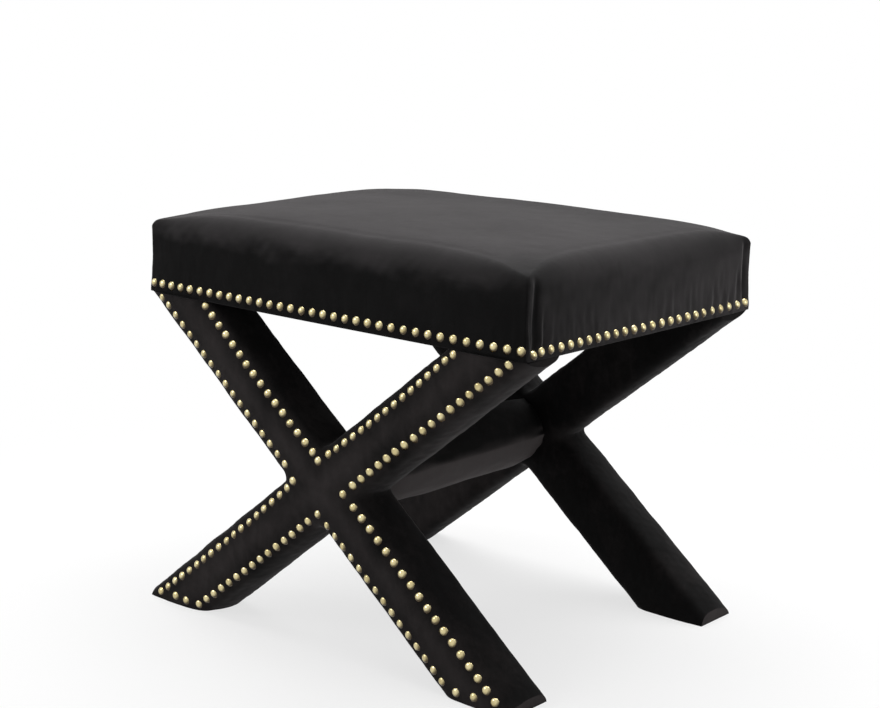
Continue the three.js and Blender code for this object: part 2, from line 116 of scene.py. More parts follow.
lens = bpy.data.cameras.new("view")
lens.sensor_width = SENSOR_WIDTH
lens.lens = FOCAL_SHARE * SENSOR_WIDTH
camera = linked("view", lens)
camera.matrix_world = Matrix(
    [(right[i], up[i], back[i], place[i]) for i in range(3)] + [(0, 0, 0, 1)]
)
bpy.context.scene.camera = camera
print("camera at", [round(value, 3) for value in place], "with a lens of", round(lens.lens, 1))

# %% [markdown]
# ## Studio
# Black velvet needs broad, soft light: a large panel overhead gives the top its sheen, a second
# one fills the front, and the pale floor throws light back up under the legs. The floor turns
# pure white for the camera away from the stool, so it runs into the background without a line.


# %% Helpers for node trees
def node_adder(tree):
    """Empties a tree and returns a function that adds a node and links or fills its inputs.
    A node given as an input stands for its first output."""
    tree.nodes.clear()

    def add(kind, inputs=None, **settings):
        node = tree.nodes.new("ShaderNode" + kind)
        for key, value in settings.items():
            setattr(node, key, value)
        for key, value in (inputs or {}).items():
            if isinstance(value, bpy.types.Node):
                value = value.outputs[0]
            if isinstance(value, bpy.types.NodeSocket):
                tree.links.new(value, node.inputs[key])
            else:
                node.inputs[key].default_value = value
        return node

    return add


def new_material(name):
    """A material, as a function that adds its nodes and one that gives it its shader."""
    material = bpy.data.materials.new(name)
    material.use_nodes = True
    add = node_adder(material.node_tree)

    def finish(shader):
        add("OutputMaterial", {"Surface": shader})
        return material

    return add, finish


def seen_directly(add):
    """One for the rays that show the stage: from the camera, off metal and through glass."""
    rays = add("LightPath").outputs
    seen = rays["Is Camera Ray"]
    for kind in ("Is Glossy Ray", "Is Transmission Ray"):
        seen = add("Math", {0: seen, 1: rays[kind]}, operation="MAXIMUM")
    return seen


# %% Floor, world and lamps
FLOOR_SIZE = 60.0
FLOOR_COLOR = (0.88, 0.88, 0.88, 1)
WHITE_FROM, WHITE_TO = 0.4, 1.1
AMBIENT = 0.14
FLOOR_WHITE = 0.72

half_floor = FLOOR_SIZE / 2
floor_mesh = bpy.data.meshes.new("floor")
corners = [(sx * half_floor, sy * half_floor, 0) for sx, sy in ((-1, -1), (1, -1), (1, 1), (-1, 1))]
floor_mesh.from_pydata(corners, [], [(0, 1, 2, 3)])
floor = linked("floor", floor_mesh)

add, finish = new_material("studio_floor")
spot = add("TexCoord").outputs["Object"]
distance = add("VectorMath", {0: spot}, operation="LENGTH").outputs["Value"]
fade = add("MapRange", {
    "Value": distance, "From Min": WHITE_FROM, "From Max": WHITE_TO,
}, interpolation_type="SMOOTHSTEP")
whitened = add("MapRange", {"Value": fade, "To Min": FLOOR_WHITE, "To Max": 1.0})
share = add("Math", {0: seen_directly(add), 1: whitened}, operation="MULTIPLY")
paint = add("BsdfDiffuse", {"Color": FLOOR_COLOR})
glow = add("Emission", {"Color": (1, 1, 1, 1), "Strength": 1.0})
floor_mesh.materials.append(finish(add("MixShader", {0: share, 1: paint, 2: glow})))

world = bpy.data.worlds.new("studio")
bpy.context.scene.world = world
world.use_nodes = True
add = node_adder(world.node_tree)
dim, bright = (
    add("Background", {"Color": (1, 1, 1, 1), "Strength": strength})
    for strength in (AMBIENT, 1.0)
)
sky = add("MixShader", {0: seen_directly(add), 1: dim, 2: bright})
add("OutputWorld", {"Surface": sky})

for name, where, target, (width, height), watts in (
    ("overhead", (-0.3, 0.6, 2.6), (0, 0, 0.2), (3.0, 3.0), 110),
    ("front_fill", (-1.5, -2.0, 1.6), (0, 0, 0.25), (1.2, 1.0), 15),
    ("right_fill", (2.4, 0.6, 1.1), (0, 0, 0.4), (1.0, 1.2), 8),
):
    lamp = bpy.data.lights.new(name, "AREA")
    lamp.shape = "RECTANGLE"
    lamp.size, lamp.size_y = width, height
    lamp.energy = watts
    holder = linked(name, lamp)
    holder.location = where
    holder.rotation_euler = (Vector(where) - Vector(target)).to_track_quat("Z", "Y").to_euler()
bpy.context.scene.view_settings.view_transform = "Standard"
print("floor, world and", len(bpy.data.lights), "lamps")

# %% [markdown]
# ## Velvet, brass and the plain materials
# Velvet is a short pile that stands up from its backing. It swallows light that falls straight
# in and shines where the pile is seen from the side, which is the job of the shader's sheen.
# Where hands have brushed it, the pile leans and the shade shifts in soft patches. The pile
# itself is a very fine bump.


# %% Velvet
def velvet(name, deep, lit_tone, sheen, mottle):
    """Cut-pile cloth: a deep and a lit tone, mixed by the painted light and shade that each piece
    stores, by soft patches and by the streaks of leaning pile, with a fine pile in its bump."""
    add, finish = new_material(name)
    spot = add("TexCoord").outputs["Object"]
    patches = add("TexNoise", {"Vector": spot, "Scale": 14.0, "Detail": 5.0, "Roughness": 0.62})
    strokes_at = add("Mapping", {"Vector": spot, "Scale": (1.0, 1.0, 0.35)})
    strokes = add("TexNoise", {
        "Vector": strokes_at, "Scale": 55.0, "Detail": 3.0, "Distortion": 0.8,
    })
    middle = {"From Min": 0.3, "From Max": 0.7}
    uneven = add("MapRange", {"Value": patches, **middle, "To Min": -mottle, "To Max": mottle})
    streaky = add("MapRange", {
        "Value": strokes, **middle, "To Min": -mottle / 2, "To Max": mottle / 2,
    })
    # The stored painted light and shade mixes the dark and the lit tone.
    painted_light = add("Attribute", attribute_name="painted_light").outputs["Fac"]
    tone = add("Math", {0: painted_light, 1: uneven}, operation="ADD")
    tone = add("Math", {0: tone, 1: streaky}, operation="ADD", use_clamp=True)
    colour = add("Mix", {0: tone, 6: deep, 7: lit_tone}, data_type="RGBA").outputs[2]
    pile = add("TexNoise", {"Vector": spot, "Scale": 1500.0, "Detail": 2.0})
    speck = add("MapRange", {"Value": pile, "To Min": 0.75, "To Max": 1.25})
    speckled = add("CombineColor", {i: speck for i in range(3)})
    colour = add("Mix", {0: 1.0, 6: colour, 7: speckled}, data_type="RGBA", blend_type="MULTIPLY")
    rough = add("MapRange", {"Value": strokes, "To Min": 0.72, "To Max": 0.96})
    leaning = add("Bump", {"Height": strokes, "Strength": 0.3, "Distance": 1.0 * MM})
    fine = add("Bump", {
        "Height": pile, "Strength": 0.3, "Distance": 0.25 * MM, "Normal": leaning,
    })
    return finish(add("BsdfPrincipled", {
        "Base Color": colour.outputs[2], "Roughness": rough, "Normal": fine,
        "Specular IOR Level": 0.1, "Sheen Weight": sheen, "Sheen Roughness": 0.34,
        "Sheen Tint": (0.86, 0.82, 0.84, 1),
    }))


# The three velvets are one cloth, with tones and sheen set apart as painted light and shade: the
# seat is lit most, and the stretcher's weak sheen keeps it in painted shade under the seat.
seat_velvet = velvet(
    "seat_velvet", deep=(0.0008, 0.0007, 0.0007, 1), lit_tone=(0.075, 0.069, 0.071, 1),
    sheen=0.17, mottle=0.05,
)
leg_velvet = velvet(
    "leg_velvet", deep=(0.0010, 0.0008, 0.0008, 1), lit_tone=(0.042, 0.036, 0.036, 1),
    sheen=0.09, mottle=0.22,
)
bar_velvet = velvet(
    "stretcher_velvet", deep=(0.0006, 0.0005, 0.0005, 1), lit_tone=(0.07, 0.062, 0.062, 1),
    sheen=0.03, mottle=0.08,
)
print("three shades of velvet")


# %% Brass, steel, wood and the dust cover's cloth
# Painted shade for the rims of the nail heads.
RIM_SHADE_COLOUR = (0.06, 0.036, 0.008, 1)


def metal(name, colour, dull, roughness):
    """Plated metal: a bright colour with duller patches, and fine scratches in its gloss.
    A piece may store painted shade on its rims, which darkens them and dulls their metal."""
    add, finish = new_material(name)
    spot = add("TexCoord").outputs["Object"]
    patches = add("TexNoise", {"Vector": spot, "Scale": 75.0, "Detail": 3.0})
    scratches = add("TexNoise", {"Vector": spot, "Scale": 900.0, "Detail": 2.0})
    spread = add("MapRange", {"Value": patches, "From Min": 0.35, "From Max": 0.7})
    tone = add("Mix", {0: spread, 6: colour, 7: dull}, data_type="RGBA").outputs[2]
    # The rim attribute is painted shade: it darkens the tone and takes away some of the metal's
    # shine.
    rim = add("Attribute", attribute_name="rim").outputs["Fac"]
    tone = add("Mix", {0: rim, 6: tone, 7: RIM_SHADE_COLOUR}, data_type="RGBA").outputs[2]
    bright = add("MapRange", {"Value": rim, "To Min": 1.0, "To Max": 0.25})
    gloss = add("MapRange", {
        "Value": scratches, "To Min": roughness * 0.75, "To Max": roughness * 1.3,
    })
    fine = add("Bump", {"Height": scratches, "Strength": 0.08, "Distance": 0.1 * MM})
    return finish(add("BsdfPrincipled", {
        "Base Color": tone, "Metallic": bright, "Roughness": gloss, "Normal": fine,
    }))


def wood(name, light, dark, stretch, scale):
    """Sawn timber: wavering bands of grain along one axis, with short dark pores."""
    add, finish = new_material(name)
    spot = add("TexCoord").outputs["Object"]
    along = add("Mapping", {"Vector": spot, "Scale": stretch})
    bands = add("TexNoise", {"Vector": along, "Scale": scale, "Detail": 5.0, "Distortion": 1.4})
    pores = add("TexNoise", {"Vector": along, "Scale": scale * 9, "Detail": 2.0})
    grain = add("MapRange", {"Value": bands, "From Min": 0.35, "From Max": 0.65})
    tone = add("Mix", {0: grain, 6: light, 7: dark}, data_type="RGBA").outputs[2]
    fine = add("Bump", {"Height": pores, "Strength": 0.3, "Distance": 0.3 * MM})
    rough = add("MapRange", {"Value": pores, "To Min": 0.5, "To Max": 0.75})
    return finish(add("BsdfPrincipled", {"Base Color": tone, "Roughness": rough, "Normal": fine}))


def felted_cloth(name, colour, paler):
    """Thin bonded cloth: a mottled black with a dimpled surface."""
    add, finish = new_material(name)
    spot = add("TexCoord").outputs["Object"]
    dimples = add("TexVoronoi", {"Vector": spot, "Scale": 520.0})
    mottle = add("TexNoise", {"Vector": spot, "Scale": 60.0, "Detail": 4.0})
    tone = add("Mix", {0: mottle, 6: colour, 7: paler}, data_type="RGBA").outputs[2]
    fine = add("Bump", {"Height": dimples, "Strength": 0.4, "Distance": 0.3 * MM})
    rough = add("MapRange", {"Value": mottle, "To Min": 0.8, "To Max": 1.0})
    return finish(add("BsdfPrincipled", {
        "Base Color": tone, "Roughness": rough, "Normal": fine, "Specular IOR Level": 0.2,
    }))


brass = metal("nail_brass", (0.72, 0.63, 0.36, 1), (0.52, 0.43, 0.21, 1), 0.2)
zinc = metal("zinc_steel", (0.62, 0.64, 0.66, 1), (0.45, 0.46, 0.47, 1), 0.35)
BEECH_LIGHT, BEECH_DARK = (0.56, 0.37, 0.21, 1), (0.43, 0.26, 0.14, 1)
GRAIN_STRETCH, GRAIN_SCALE = 0.15, 60
beeches = [
    wood(f"beech_{way}", BEECH_LIGHT, BEECH_DARK, stretch, GRAIN_SCALE)
    for way, stretch in (
        ("along_x", (GRAIN_STRETCH, 1, 1)),
        ("along_y", (1, GRAIN_STRETCH, 1)),
        ("upright", (1, 1, GRAIN_STRETCH)),
    )
]
plywood = wood("plywood_plies", (0.66, 0.5, 0.31, 1), (0.52, 0.37, 0.22, 1), (0.2, 1, 6), 40)
cambric = felted_cloth("dust_cover_cloth", (0.012, 0.012, 0.014, 1), (0.03, 0.03, 0.034, 1))
print("materials:", sorted(material.name for material in bpy.data.materials))

# %% [markdown]
# ## Shapes as arrays
# Every padded form here is a net of rings: a closed outline repeated along the piece, joined by
# four-cornered faces. Working on whole arrays keeps each formula in one line. Noise from a few
# random waves gives the cloth its soft, uneven look, and its seed is fixed, so each run is alike.


# %% Helpers for nets of points
def ring_quads(rings, count):
    """Faces between closed rings of equal count."""
    row = np.arange(rings - 1)[:, None] * count
    here = np.arange(count)[None, :]
    ahead = (here + 1) % count
    corners = [row + here, row + ahead, row + count + ahead, row + count + here]
    return np.stack(corners, 2).reshape(-1, 4)


def end_caps(total, count):
    """The first and the last ring of a net of that many points, as faces."""
    return [list(range(count))[::-1], list(range(total - count, total))]


def turned_outwards(points, quads, caps):
    """All faces, turned round together if their signed volume is negative.
    The volume is a sixth of the sum of each triangle's box product."""
    a, b, c, d = (points[quads[:, i]] for i in range(4))
    volume = np.einsum("ij,ij->", a, np.cross(b, c)) + np.einsum("ij,ij->", a, np.cross(c, d))
    if volume < 0:
        return quads[:, ::-1], [cap[::-1] for cap in caps]
    return quads, caps


def skin(name, points, quads, caps=()):
    """A smooth mesh object of four-cornered faces and flat end caps."""
    quads, caps = turned_outwards(points, quads, list(caps))
    mesh = bpy.data.meshes.new(name)
    mesh.from_pydata(points.tolist(), [], [*quads.tolist(), *caps])
    mesh.shade_smooth()
    return linked(name, mesh)


def vectors(items, key):
    """A property with three parts, read from all of a mesh's items."""
    flat = np.empty(len(items) * 3, np.float32)
    items.foreach_get(key, flat)
    return flat.reshape(-1, 3)


def read_points(thing):
    """The vertices of an object as an array."""
    return vectors(thing.data.vertices, "co").astype(float)


def write_points(thing, points):
    """Puts an array back into the vertices of an object."""
    thing.data.vertices.foreach_set("co", points.astype(np.float32).ravel())
    thing.data.update()


def read_normals(thing):
    """The vertex normals of an object as an array."""
    return vectors(thing.data.vertex_normals, "vector").astype(float)


def paint_light(thing, painted_light):
    """Stores painted light and shade on each vertex, from 0, dark, to 1, lit."""
    layer = thing.data.attributes.new("painted_light", "FLOAT", "POINT")
    layer.data.foreach_set("value", np.clip(painted_light, 0, 1).astype(np.float32))


def push(thing, amount):
    """Moves each vertex along its normal by its own amount."""
    write_points(thing, read_points(thing) + read_normals(thing) * amount[:, None])


def ripples(points, wavelength, seed, waves=20):
    """Smooth noise of about plus or minus one: plane waves of nearly one length in random
    directions, added up and divided by the root of their number."""
    random = np.random.default_rng(seed)
    heading = random.normal(size=(waves, 3))
    heading /= np.linalg.norm(heading, axis=1)[:, None]
    lengths = wavelength * random.uniform(0.7, 1.4, waves)
    turns = points @ (heading / lengths[:, None]).T + random.uniform(0, 1, waves)
    return np.sin(2 * np.pi * turns).sum(1) / math.sqrt(waves)


def averaged(thing, values, rounds, factor=0.5):
    """Values of an object's vertices, drawn towards the mean of their neighbours over and over."""
    pairs = np.array([edge.vertices[:] for edge in thing.data.edges])
    ends = np.concatenate([pairs, pairs[:, ::-1]])
    degree = np.bincount(ends[:, 0], minlength=len(values))[:, None]
    for _ in range(rounds):
        total = np.stack(
            [np.bincount(ends[:, 0], values[ends[:, 1], i], len(values)) for i in range(3)], 1
        )
        values = values + (total / degree - values) * factor
    return values


def bump_at(value, centre, width):
    """A bell curve that is one at its centre."""
    return np.exp(-(((value - centre) / width) ** 2))


def smooth_step(value, low, high):
    """From zero to one between two values, level at both."""
    share = np.clip((value - low) / (high - low), 0, 1)
    return share * share * (3 - 2 * share)


def last_quarter(share):
    """Zero until the last quarter of the way, then evenly up to one."""
    return np.clip(share * 4 - 3, 0, 1)


print("helpers ready")

# %% [markdown]
# ## The crossed legs
# Each frame is two square bars that lap through each other, wrapped in wadding and velvet. The
# cloth runs over the crossing in one sheet, so both bars are made as full tubes, joined in one
# skin of small voxels and smoothed. The tubes widen where they meet, which fills the notches the
# way cloth and wadding do.


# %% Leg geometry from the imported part
LEG_HALF_WIDTH, LEG_ROUNDING = 32.5 * MM, 8 * MM
FACE_CROWN, UPPER_CROWN, UNDER_CROWN = 3.2 * MM, 4.5 * MM, 6.5 * MM
UPPER_GROWTH, UNDER_GROWTH = 1.2 * MM, 3.5 * MM
FLARE = 13 * MM
LEG_GROWTH = 0.9 * MM
TOE_OVERRUN, TOE_INSET = 4 * MM, 2.8 * MM
RUN_OUT = 14 * MM
SEAT_GAP = 0.3 * MM
CROSSING_RISE = 4 * MM
ARC_POINTS, SECTION_STEP, LEG_RINGS = 6, 4 * MM, 181
VOXEL, QUICK_VOXEL, SMOOTH_ROUNDS = 2.2 * MM, 4 * MM, 4
ROW_PULL, ROW_WIDTH = 0.9 * MM, 4.5 * MM
NAIL_PULL, NAIL_WIDTH = 0.9 * MM, 5.5 * MM
LEG_RIPPLES = ((0.35 * MM, 55 * MM), (0.16 * MM, 16 * MM))
RIM_BAND, CUT_REACH = 1.2 * MM, 0.01 * MM
# Painted light on the leg frames, from 0, dark, to 1, lit: a base, the nailed face, a painted
# highlight band along each leg and painted floor light on the undersides of the front frame, and a
# little on the rear frame, which is left in painted shade.
LEG_LIGHT, FACE_LIGHT, BAND_HIGHLIGHT, UNDER_BOUNCE_LIGHT, BAND_WIDTH = 0.08, 0.12, 0.34, 0.13, 15 * MM
REAR_BASE_LIGHT, REAR_TOP_LIGHT, REAR_INNER_LIGHT = 0.01, 0.05, 0.4

cover_low, cover_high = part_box("front_leg_cover_whole")
LEG_TOP = cover_high.z
LEG_CROWN_CAD = 2.4 * MM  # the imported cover's own crown on its nailed face
leg_half_depth = (cover_high.y - cover_low.y) / 2 - LEG_CROWN_CAD
frame_offset = -(cover_high.y + cover_low.y) / 2
CROSS = LEG_TOP / 2 + CROSSING_RISE
half_span = seat_high.x + TOE_OVERRUN
reach = math.hypot(half_span, CROSS)
SLOPE = math.atan2(CROSS, half_span) + math.asin(LEG_HALF_WIDTH / reach)
SIN, COS = math.sin(SLOPE), math.cos(SLOPE)
toe_x = seat_high.x - TOE_INSET
print("legs slope", round(math.degrees(SLOPE), 2), "degrees and cross at", round(CROSS, 4))


def leg_place(lean, s, a):
    """The level and height of a point s along a leg's axis from the crossing and a across it."""
    return lean * (s * COS - a * SIN), CROSS + s * SIN + a * COS


def leg_across(lean, x, z):
    """How far a point lies across a leg's axis: the inverse of leg_place."""
    return (z - CROSS) * COS - lean * x * SIN


def leg_tube(lean, upper_growth):
    """One leg as rings of a rounded square with full faces, a little too long at both ends.
    It is fullest towards the inner side, where no nails draw the cloth tight.
    Past the crossing the half width grows by the gap between a quarter circle and its tangent."""
    turns = np.radians(np.linspace(0, 90, ARC_POINTS))
    quarter = np.stack([np.cos(turns), np.sin(turns)], 1)
    flat_a = LEG_HALF_WIDTH - LEG_ROUNDING
    flat_b = leg_half_depth - LEG_ROUNDING
    section = []
    for sa, sb in ((1, 1), (-1, 1), (-1, -1), (1, -1)):
        arc = quarter * LEG_ROUNDING + [flat_a, flat_b]
        arc = arc if sa * sb > 0 else arc[::-1]
        section.extend((arc * [sa, sb]).tolist())
    filled = []
    for here, ahead in zip(section, section[1:] + section[:1]):
        count = max(1, round(math.dist(here, ahead) / SECTION_STEP))
        for i in range(count):
            filled.append([h + (n - h) * i / count for h, n in zip(here, ahead)])
    a, b = np.array(filled).T
    puff_b = FACE_CROWN * (1 - (a / LEG_HALF_WIDTH) ** 2).clip(0) * last_quarter(abs(b) / flat_b)
    side_crown = np.where(a > 0, UPPER_CROWN, UNDER_CROWN)
    puff_a = side_crown * (1 - (b / leg_half_depth) ** 2).clip(0) * last_quarter(abs(a) / flat_a)
    growth = np.where(a > 0, upper_growth, UNDER_GROWTH) * np.clip(abs(a) / flat_a, 0, 1)
    inward = growth * smooth_step(b, -leg_half_depth, leg_half_depth)
    a, b = a + np.sign(a) * (puff_a + inward), b + np.sign(b) * puff_b
    steps = np.linspace(0, 1, LEG_RINGS)[:, None]
    low = (-RUN_OUT - CROSS - a * COS) / SIN
    high = (LEG_TOP + RUN_OUT - CROSS - a * COS) / SIN
    s = low + (high - low) * steps
    x, z = leg_place(lean, s, np.sign(a) * LEG_HALF_WIDTH + 0 * s)
    off = np.clip(abs(leg_across(-lean, x, z)) - LEG_HALF_WIDTH, 0, FLARE)
    flare = FLARE - np.sqrt(FLARE**2 - (FLARE - off) ** 2)
    wide = a * (1 + flare / LEG_HALF_WIDTH * np.clip(abs(a) / flat_a, 0, 1) ** 4)
    x, z = leg_place(lean, s, wide)
    y = np.broadcast_to(b, x.shape)
    points = np.stack([x, y, z], 2).reshape(-1, 3)
    quads = ring_quads(LEG_RINGS, len(a))
    return points, *turned_outwards(points, quads, end_caps(len(points), len(a)))


# %% Lay out the nail rows
NAIL_RADIUS, NAIL_RISE = 6.1 * MM, 3.2 * MM
LEG_ROWS = [
    ((-278.8, 409.2), (-55.9, 228.8), 18, -1.2), ((-199.5, 406.8), (-10.8, 252.2), 16, -1.9),
    ((14.9, 165.2), (201.3, 16.6), 15, 1.6), ((56.9, 196.8), (279.4, 12.7), 18, 0.7),
    ((15.6, 255), (204.1, 408.8), 16, -2.9), ((55.8, 224.1), (281.5, 407.5), 18, 0.5),
    ((-52, 198.9), (-283.9, 8.1), 18, 3.0), ((-17.1, 163.6), (-210.6, 8.6), 15, 1.3),
]
FOOT_NAILS = [(-252, 10.7), (-232.3, 9.4), (224.1, 10), (250.5, 12)]
CROSSING_NAILS = ("left", "right", "top", "bottom")

leg_rows = []
for start, end, count, bow in LEG_ROWS:
    line = np.linspace(start, end, count)
    heading = (line[-1] - line[0]) / math.dist(start, end)
    share = np.linspace(0, 1, count)
    line += np.outer(4 * bow * share * (1 - share), (-heading[1], heading[0]))
    line *= MM
    line[:, 1] = np.minimum(line[:, 1], LEG_TOP - NAIL_RADIUS)
    leg_rows.append(line)
leg_nails = np.concatenate([*leg_rows, np.array(FOOT_NAILS) * MM])
corner_nails = np.array([
    middle_of(f"nail_front_crossing_{where}")[::2] for where in CROSSING_NAILS
])
print(len(leg_nails) + len(corner_nails), "nails on each frame")


# %% Sew the crossed legs into one skin
def nail_distance(x, z):
    """Each point's distance to its nearest nail, in the plane of the nailed face."""
    nails = np.concatenate([leg_nails, corner_nails])
    return np.hypot(x[:, None] - nails[None, :, 0], z[:, None] - nails[None, :, 1]).min(1)


def row_distance(x, z):
    """Each point's distance to the nearest nail row, taken as a straight line."""
    nearest = np.full(len(x), 1.0)
    for line in leg_rows:
        (x0, z0), (x1, z1) = line[0], line[-1]
        length = math.hypot(x1 - x0, z1 - z0)
        ux, uz = (x1 - x0) / length, (z1 - z0) / length
        along = ((x - x0) * ux + (z - z0) * uz).clip(0, length)
        nearest = np.minimum(nearest, np.hypot(x - x0 - along * ux, z - z0 - along * uz))
    return nearest


def cut_off(thing, cuts):
    """Cuts an object at planes, drops what lies beyond them and closes the cuts with flat faces.
    A narrow band inside each sharp rim lets the flat part carry its own painted light."""
    net = bmesh.new()
    net.from_mesh(thing.data)
    for place, facing in cuts:
        parts = net.verts[:] + net.edges[:] + net.faces[:]
        cut = bmesh.ops.bisect_plane(
            net, geom=parts, plane_co=place, plane_no=facing, clear_outer=True, dist=CUT_REACH
        )
        rim = [part for part in cut["geom_cut"] if isinstance(part, bmesh.types.BMEdge)]
        flats = bmesh.ops.holes_fill(net, edges=rim, sides=0)["faces"]
        for edge in rim:
            edge.smooth = False
        bands = bmesh.ops.inset_individual(
            net, faces=flats, thickness=RIM_BAND, use_even_offset=True
        )
        for face in [*flats, *bands["faces"]]:
            face.smooth = False
    bmesh.ops.recalc_face_normals(net, faces=net.faces[:])
    net.to_mesh(thing.data)
    net.free()


def faces_out(normal):
    """One on the nailed face and zero on the sides, with a short change between them."""
    return np.clip(-normal[:, 1] * 1.6 - 0.4, 0, 1)


def leg_painted_light(points, normal, facing):
    """How much painted light each leg frame's cloth gets. The front frame's nailed face is lit,
    with a painted highlight along the middle of each leg, and its undersides get painted light from
    the floor. The rear frame, which stands in the shade, is painted deep and dark but for a little
    on its upward faces and the inner face of one lower leg. A toe's cut end gets the strongest
    painted highlight of all."""
    x, _, z = points.T
    if facing < 0:
        off_axis = np.minimum(abs(leg_across(1, x, z)), abs(leg_across(-1, x, z)))
        on_face = FACE_LIGHT + BAND_HIGHLIGHT * bump_at(off_axis, 0, BAND_WIDTH)
        painted_light = LEG_LIGHT + faces_out(normal) * on_face + np.clip(-normal[:, 2], 0, 1) * UNDER_BOUNCE_LIGHT
    else:
        one_side = smooth_step(x, 10 * MM, 40 * MM)
        below = smooth_step(CROSS - z, 0, 30 * MM)
        painted_light = REAR_BASE_LIGHT + REAR_TOP_LIGHT * np.clip(normal[:, 2], 0, 1)
        painted_light += REAR_INNER_LIGHT * normal[:, 1].clip(0) * one_side * below
    at_toe = (abs(x) > toe_x - 2 * MM) * (z < LEG_TOP / 2)
    return painted_light + smooth_step(abs(normal[:, 0]), 0.8, 0.95) * at_toe


def crossed_legs(name, facing, seed):
    """Two tubes in one skin of voxels, then tightened along the nail rows and cut off level at
    the floor, under the seat and at the toes.
    facing is -1 for the front frame and 1 for the rear one, whose outer face is the front's
    turned half round."""
    upper_growth = UPPER_GROWTH if facing < 0 else UNDER_GROWTH
    first, second = leg_tube(1, upper_growth), leg_tube(-1, upper_growth)
    points = np.concatenate([first[0], second[0]])
    shift = len(first[0])
    quads = np.concatenate([first[1], second[1] + shift])
    caps = first[2] + [[i + shift for i in cap] for cap in second[2]]
    mesh = bpy.data.meshes.new(name)
    mesh.from_pydata(points.tolist(), [], [*quads.tolist(), *caps])
    rough = linked(name + "_rough", mesh)
    remesh = rough.modifiers.new("voxels", "REMESH")
    remesh.mode = "VOXEL"
    remesh.voxel_size = VOXEL
    graph = bpy.context.evaluated_depsgraph_get()
    whole = bpy.data.meshes.new_from_object(rough.evaluated_get(graph))
    bpy.data.objects.remove(rough)
    thing = linked(name, whole)
    write_points(thing, averaged(thing, read_points(thing), SMOOTH_ROUNDS))

    points = read_points(thing)
    x, _, z = points.T
    normal = read_normals(thing)
    outer = faces_out(normal)
    amount = LEG_GROWTH - ROW_PULL * bump_at(row_distance(x, z), 0, ROW_WIDTH) * outer
    amount -= NAIL_PULL * bump_at(nail_distance(x, z), 0, NAIL_WIDTH) * outer
    for i, (height, wavelength) in enumerate(LEG_RIPPLES):
        amount += height * ripples(points, wavelength, seed + i)
    write_points(thing, points + normal * amount[:, None])
    thing.data.shade_smooth()
    thing.data.materials.clear()
    thing.data.materials.append(leg_velvet)
    cut_off(thing, [
        ((0, 0, 0), (0, 0, -1)), ((0, 0, LEG_TOP - SEAT_GAP), (0, 0, 1)),
        ((-toe_x, 0, 0), (-1, 0, 0)), ((toe_x, 0, 0), (1, 0, 0)),
    ])
    points = read_points(thing)
    points = points.clip((-toe_x, -1, 0), (toe_x, 1, LEG_TOP - SEAT_GAP))
    # Painted light and shade for the frame's cloth, by facing and place.
    painted_light = leg_painted_light(points, read_normals(thing), facing)
    points[:, 1] -= frame_offset
    if facing > 0:
        points[:, :2] *= -1
    write_points(thing, points)
    paint_light(thing, painted_light)
    place = "front" if facing < 0 else "rear"
    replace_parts(thing, *[
        f"{place}_leg_{part}_{piece}"
        for part in ("cover", "wadding") for piece in ("whole", "upper", "lower")
    ])
    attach(thing, "root")
    return thing


front_legs = crossed_legs("front_leg_velvet", -1, 11)
rear_legs = crossed_legs("rear_leg_velvet", 1, 31)
print(len(front_legs.data.polygons), "faces on each frame")

# %% [markdown]
# ## The seat
# The seat is a foam block on a plywood deck, with batting and velvet pulled down over it and
# nailed to the rails. Its sides are rings from the hem up and round the top edge; the top is a
# grid stretched between the four sides of the last ring. Only the shape above the nail rows is
# free to swell.

# %% Seat sizes
SEAT_BASE, CORNER_HEIGHT = seat_low.z, 82 * MM
EDGE_RISE, EDGE_FULLNESS, SEAT_CROWN = 24 * MM, 8, 7 * MM
EDGE_ROLL, CORNER_ROLL, CORNER_RADIUS = 29 * MM, 2.5 * MM, 4 * MM
EAR, EAR_WIDTH = 7 * MM, 20 * MM
WAIST, BOW = 1.6 * MM, 0.8 * MM
half_x, half_y = seat_high.x, seat_high.y
LEVEL_SHARES = np.array([0, 0.1, 0.24, 0.42, 0.62, 0.84, 1])
DRAW_SHARES = np.array([0, 0.12, 0.75, 1, 0.8, 0.35, 0])
CORNER_TOP = SEAT_BASE + CORNER_HEIGHT
SHOULDER = CORNER_TOP - CORNER_ROLL
EDGE_DENSITY = 0.4
FORM_INSET = 0.6 * MM


def edge_fullness(x, y):
    """Nothing at a corner and one away from it: one less a high power of the plan's product."""
    return 1 - np.clip(abs(x / half_x * y / half_y), 0, 1) ** EDGE_FULLNESS


def top_height(x, y):
    """The height of the seat's top: its corners, the fuller edges between them and a crown."""
    crown = SEAT_CROWN * (1 - (x / half_x) ** 2) * (1 - (y / half_y) ** 2)
    return CORNER_TOP + EDGE_RISE * edge_fullness(x, y) + crown


